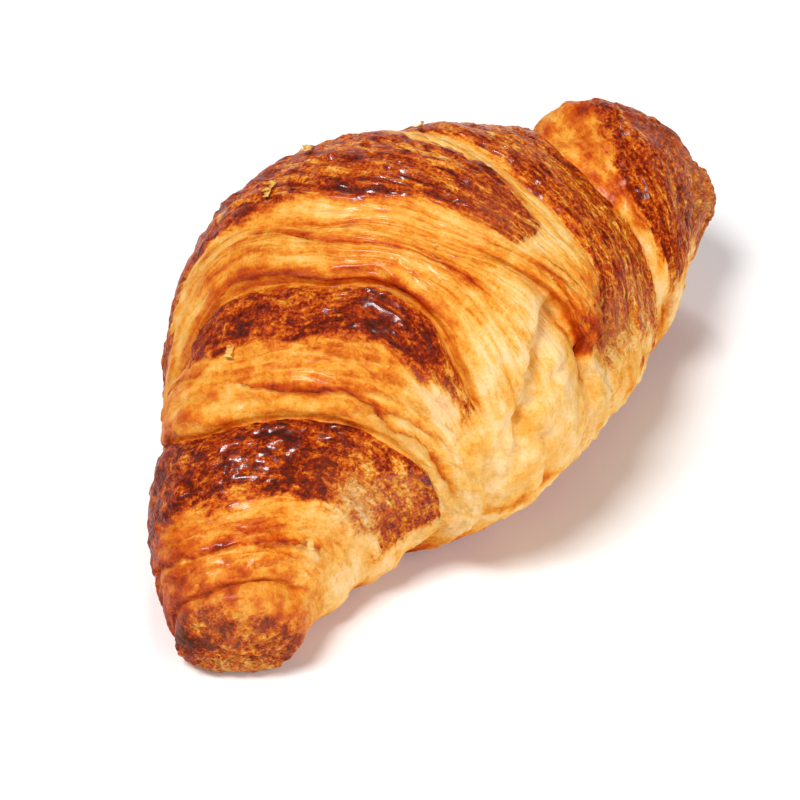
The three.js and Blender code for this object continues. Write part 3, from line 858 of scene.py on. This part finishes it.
def through_tree(name, mesh, tree, values):
    """The mesh as the tree leaves it, as a plain piece at the origin."""
    rough = bpy.data.objects.new(name + " rough", mesh)
    bpy.context.collection.objects.link(rough)
    modifier = rough.modifiers.new("tree", "NODES")
    modifier.node_group = tree
    for item in tree.interface.items_tree:
        if item.in_out == "INPUT" and item.name in values:
            modifier[item.identifier] = values[item.name]
    bpy.context.view_layer.update()
    evaluated = rough.evaluated_get(bpy.context.evaluated_depsgraph_get())
    finished = bpy.data.meshes.new_from_object(evaluated)
    rough.modifiers.remove(modifier)
    bpy.data.objects.remove(rough)
    finished.name = name
    piece = bpy.data.objects.new(name, finished)
    bpy.context.collection.objects.link(piece)
    return piece


def srgb(red, green, blue):
    """A screen colour as light, for a shader's socket."""
    shares = (np.array([red, green, blue]) / 255.0).tolist()
    return [c / 12.92 if c <= 0.04045 else ((c + 0.055) / 1.055) ** 2.4 for c in shares] + [1.0]


# The colours of the bake, from cream crumb to burnt crust
BAKE_COLOURS = [(0.0, (246, 206, 148)), (0.18, (240, 185, 98)), (0.36, (231, 154, 50)), (0.52, (214, 111, 23)),
                (0.68, (188, 70, 8)), (0.84, (146, 38, 2)), (1.0, (110, 26, 3)), (1.25, (70, 18, 5))]
DARKEST = 1.25
DULL_COLOUR = (186, 106, 66)


def eased(value, low, high):
    """A soft step from 0 to 1 between two values."""
    made = add(value.id_data, "ShaderNodeMapRange", dict(interpolation_type="SMOOTHSTEP"),
               Value=value, From_Min=low, From_Max=high)
    return made.outputs[0]


def between(first, second, share):
    return product(second, share, product(first, maths("SUBTRACT", 1.0, share)))


def leaf_pattern(tree, flow, streak, broad, firm):
    """The dough's thinnest leaves: a slow slope from each down to the next, and its sharp browned edge with a
    painted highlight just behind it.
    """
    across = add(tree, "ShaderNodeSeparateXYZ", Vector=flow).outputs["X"]
    leaf = maths("FRACT", weighed(0.0, (broad, 0.7), (streak, 0.16), (across, 0.6)))
    torn = noise_node(stretched(flow, (1.0, 0.8, 0.8)), 2.0, detail=2.0, seed=11.0)
    shown = product(eased(torn, -0.25, 0.5), firm)
    slope = product(maths("SUBTRACT", 0.5, leaf), shown)
    past = maths("SUBTRACT", 1.0, leaf)
    # A browned line at each leaf's edge, then a lighter band behind it: painted highlight on the leaf's upper face
    edge_and_highlight = product(past, -0.35, maths("POWER", past, 6.0))
    return slope, product(edge_and_highlight, shown)


def bake_colour(tree, tone, dullness):
    """The colour of a tone, dusted over where the crust is dull."""
    ramp = add(tree, "ShaderNodeValToRGB", Fac=maths("DIVIDE", tone, DARKEST))
    stops = ramp.color_ramp.elements
    while len(stops) < len(BAKE_COLOURS):
        stops.new(0.5)
    for stop, (where, colour) in zip(stops, BAKE_COLOURS):
        stop.position = where / DARKEST
        stop.color = srgb(*colour)
    dusty = add(tree, "ShaderNodeMix", dict(data_type="RGBA", clamp_factor=True))
    for number, value in ((0, dullness), (6, ramp.outputs["Color"]), (7, srgb(*DULL_COLOUR))):
        feed(dusty.inputs[number], value)
    return dusty.outputs[2]


def baked_tone_group():
    """Colour, gloss and fine relief of baked dough from its two tones and its flow round the roll."""
    values = dict.fromkeys(("Pale", "Glazed", "Border", "Crumb", "Dull", "Shine", "Streaks", "Mottling",
                            "Layers"), "Float")
    tree, source, result = tree_with("baked tone", "ShaderNodeTree", dict(values, Flow="Vector", Place="Vector"),
                                     dict(Color="Color", Roughness="Float", Coat="Float", Height="Float"))
    given = source.outputs
    firm = product(given["Crumb"], -0.8, 1.0)
    along = stretched(given["Flow"], (1.0, 0.5, 0.5))
    broad = noise_node(along, 2.6, detail=2.0, distortion=0.3)
    streak = noise_node(along, 0.9, detail=3.0, roughness=0.62, distortion=0.4, seed=3.0)
    blotch = noise_node(given["Place"], 2.8, detail=3.0, roughness=0.65, seed=2.0)
    grain = noise_node(given["Place"], 0.6, detail=2.0, roughness=0.7, seed=5.0)
    rippled = stretched(given["Flow"], (1.0, 1.1, 1.1))
    ripple = noise_node(rippled, 1.5, detail=3.0, roughness=0.62, distortion=1.0, seed=7.0)

    slope, leaf_edge = leaf_pattern(tree, given["Flow"], streak, broad, firm)
    border = weighed(given["Border"], (broad, 1.2), (streak, 1.4), (slope, 0.8))
    glaze = eased(border, -2.0, 1.6)

    streaks = product(product(maths("ADD", broad, streak), given["Streaks"]), firm)
    mottled = product(product(grain, 0.55, blotch), given["Mottling"])
    plain = maths("ADD", given["Pale"], maths("ADD", streaks, mottled))
    # Leaf edges: browned lines, each with a painted highlight behind it
    plain = product(leaf_edge, given["Layers"], plain)
    crackle = weighed(0.0, (ripple, 0.85), (streak, 0.6), (broad, 0.5), (grain, 0.6))
    shining = product(crackle, 0.54, maths("ADD", given["Glazed"], mottled))
    tone = between(plain, shining, glaze)
    dullness = product(given["Dull"], product(blotch, 0.8, 0.55))
    colour = bake_colour(tree, tone, product(dullness, between(0.75, 1.0, glaze)))
    feed(result.inputs["Color"], colour)

    washed = product(maths("SUBTRACT", 1.0, given["Crumb"]), 0.4)
    gloss = product(between(washed, 1.0, glaze), maths("SUBTRACT", 1.0, given["Dull"]))
    rough = weighed(0.5, (gloss, -0.2), (given["Crumb"], 0.2), (grain, 0.08))
    feed(result.inputs["Roughness"], rough)
    broken = eased(maths("ADD", streak, product(grain, 0.7, ripple)), -0.35, 0.3)
    coat = product(product(gloss, broken), given["Shine"])
    feed(result.inputs["Coat"], coat)
    fine = weighed(0.0, (blotch, 0.6), (streak, 0.6), (grain, 0.45), (slope, 0.25))
    fine = product(fine, between(0.55, 1.0, glaze))
    bumps = product(product(streak, 0.6, ripple), glaze)
    feed(result.inputs["Height"], maths("ADD", fine, bumps))
    return tree


POINT_VALUES = ("Pale", "Glazed", "Border", "Crumb", "Dull", "Shine")


def baked_material(name, group, streaks, mottling, layers, bump, fixed=None):
    """A baked finish that reads the crust's point values, or stands on fixed ones."""
    material = bpy.data.materials.new(name)
    material.use_nodes = True
    tree = material.node_tree
    surface = tree.nodes["Principled BSDF"]
    baked = tree.nodes.new("ShaderNodeGroup")
    baked.node_tree = group
    place = grown(tree.nodes.new("ShaderNodeTexCoord").outputs["Object"], 1 / MM)
    feed(baked.inputs["Place"], place)
    for socket in POINT_VALUES:
        if fixed:
            baked.inputs[socket].default_value = fixed[socket.lower()]
        else:
            read = add(tree, "ShaderNodeAttribute", dict(attribute_name=socket.lower()))
            feed(baked.inputs[socket], read.outputs["Fac"])
    flow = place
    if not fixed:
        flow = add(tree, "ShaderNodeAttribute", dict(attribute_name="flow")).outputs["Vector"]
    feed(baked.inputs["Flow"], flow)
    for socket, value in (("Streaks", streaks), ("Mottling", mottling), ("Layers", layers)):
        baked.inputs[socket].default_value = value
    raised = add(tree, "ShaderNodeBump", Strength=1.0, Distance=bump * MM, Height=baked.outputs["Height"])
    # The broken glaze hardly mirrors the room at a flat angle
    upright = eased(add(tree, "ShaderNodeLayerWeight", Blend=0.5).outputs["Facing"], 0.62, 0.2)
    feed(surface.inputs["Base Color"], baked.outputs["Color"])
    feed(surface.inputs["Roughness"], baked.outputs["Roughness"])
    feed(surface.inputs["Coat Weight"], product(baked.outputs["Coat"], upright))
    feed(surface.inputs["Normal"], raised.outputs["Normal"])
    surface.inputs["Coat Roughness"].default_value = 0.17
    surface.inputs["Specular IOR Level"].default_value = 0.1
    surface.inputs["Subsurface Weight"].default_value = 0.3
    surface.inputs["Subsurface Radius"].default_value = (1.0, 0.4, 0.12)
    surface.inputs["Subsurface Scale"].default_value = 2.5 * MM
    return material


def seats_on(crust, spots):
    """A point mesh with the crust's own points and normals nearest to the given spots."""
    values = np.empty(len(crust.data.vertices) * 3)
    crust.data.vertices.foreach_get("co", values)
    points = values.reshape(-1, 3)
    places = [int(np.argmin(((points - spot) ** 2).sum(1))) for spot in spots]
    normals = np.array([crust.data.vertices[i].normal for i in places])
    seats = points[places] + normals * FLAKE_STAND * MM
    mesh = bpy.data.meshes.new("seats")
    mesh.from_pydata(seats.tolist(), [], [])
    put_attribute(mesh, "seat normal", normals)
    return mesh


# The crust
tone_group = baked_tone_group()
crust_finish = baked_material("baked crust", tone_group, streaks=0.19, mottling=0.22, layers=0.3, bump=0.42)
crust = through_tree("crust", crust_mesh(), crust_relief_tree(), {
    "Swell Height": 1.0, "Swell Size": 14.0, "Blister Height": 0.8, "Blister Size": 2.0,
    "Crumb Height": 0.9, "Crumb Size": 2.2, "Seed": 3.0, "Material": crust_finish})
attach(crust, "root")
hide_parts("croissant")

# Loose flakes of crust on its back
flake_finish = baked_material("dry flake", tone_group, streaks=0.1, mottling=0.3, layers=0.0, bump=0.2,
                              fixed=dict(pale=0.22, glazed=0.4, border=-4.0, crumb=0.3, dull=0.15, shine=0.6))
FLAKE_STAND = 0.35
FLAKE_SPOTS = [(-13.6, 23.7, 60.8), (-12.4, 24.6, 60.4), (1.8, 27.3, 59.7), (3.1, 27.6, 59.4), (30, 22, 55),
               (-40, 12, 46), (-55, -24, 30)]
flake_seats = seats_on(crust, np.array(FLAKE_SPOTS) * MM)
flakes = through_tree("flakes", flake_seats, flakes_tree(), {
    "Length": 0.0024, "Width": 0.0013, "Thickness": 0.0003, "Curl": 0.0006, "Seed": 5,
    "Material": flake_finish})
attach(flakes, "root")

# The floor
floor_finish = bpy.data.materials.new("white table")
floor_finish.use_nodes = True
floor_surface = floor_finish.node_tree.nodes["Principled BSDF"]
floor_surface.inputs["Base Color"].default_value = (0.93, 0.93, 0.93, 1)
floor_surface.inputs["Roughness"].default_value = 0.85
FLOOR_HALF = 4.0
floor_mesh = bpy.data.meshes.new("floor")
floor_mesh.from_pydata([(x * FLOOR_HALF, y * FLOOR_HALF, 0) for x, y in ((-1, -1), (1, -1), (1, 1), (-1, 1))],
                       [], [(0, 1, 2, 3)])
floor_mesh.materials.append(floor_finish)
floor = bpy.data.objects.new("floor", floor_mesh)
bpy.context.collection.objects.link(floor)

# The camera looks down at the near tip, a little off the roll's line
AZIMUTH = -53
ELEVATION = 45
DISTANCE = 0.45
LENS = 100
TARGET = Vector((0, 0, 0.025))


def direction(azimuth, elevation):
    a, e = math.radians(azimuth), math.radians(elevation)
    return Vector((math.sin(a) * math.cos(e), -math.cos(a) * math.cos(e), math.sin(e)))


back = direction(AZIMUTH, ELEVATION)
right = (-back).cross(Vector((0, 0, 1))).normalized()
up = right.cross(-back)
AIM = TARGET - 0.0020 * right - 0.0126 * up


def look(thing, place, aim):
    thing.location = place
    thing.rotation_euler = (aim - place).to_track_quat("-Z", "Y").to_euler()
    bpy.context.collection.objects.link(thing)


camera_data = bpy.data.cameras.new("camera")
camera_data.lens = LENS
camera_data.sensor_width = 36
camera = bpy.data.objects.new("camera", camera_data)
look(camera, TARGET + back * DISTANCE, AIM)
bpy.context.scene.camera = camera


LIT_PLACE = Vector((0, 0, 0.03))


def softbox(name, azimuth, elevation, distance, size, watts, mirrored=True):
    light = bpy.data.lights.new(name, "AREA")
    light.shape = "DISK"
    light.size = size
    light.energy = watts
    placed = bpy.data.objects.new(name, light)
    placed.visible_glossy = mirrored
    look(placed, direction(azimuth, elevation) * distance, LIT_PLACE)


softbox("key", azimuth=-104, elevation=68, distance=1.2, size=0.36, watts=9.7)
softbox("spark", azimuth=-118, elevation=58, distance=1.2, size=0.14, watts=2.5)
softbox("glint", azimuth=132, elevation=44, distance=1.2, size=0.14, watts=2.6)
softbox("back", azimuth=122, elevation=42, distance=1.6, size=0.3, watts=3, mirrored=False)
softbox("fill", azimuth=-5, elevation=26, distance=1.6, size=2.0, watts=20, mirrored=False)

world = bpy.data.worlds.new("studio")
world.use_nodes = True
world.node_tree.nodes["Background"].inputs["Color"].default_value = (1, 1, 1, 1)
world.node_tree.nodes["Background"].inputs["Strength"].default_value = 0.1
bpy.context.scene.world = world
bpy.context.scene.view_settings.view_transform = "Standard"
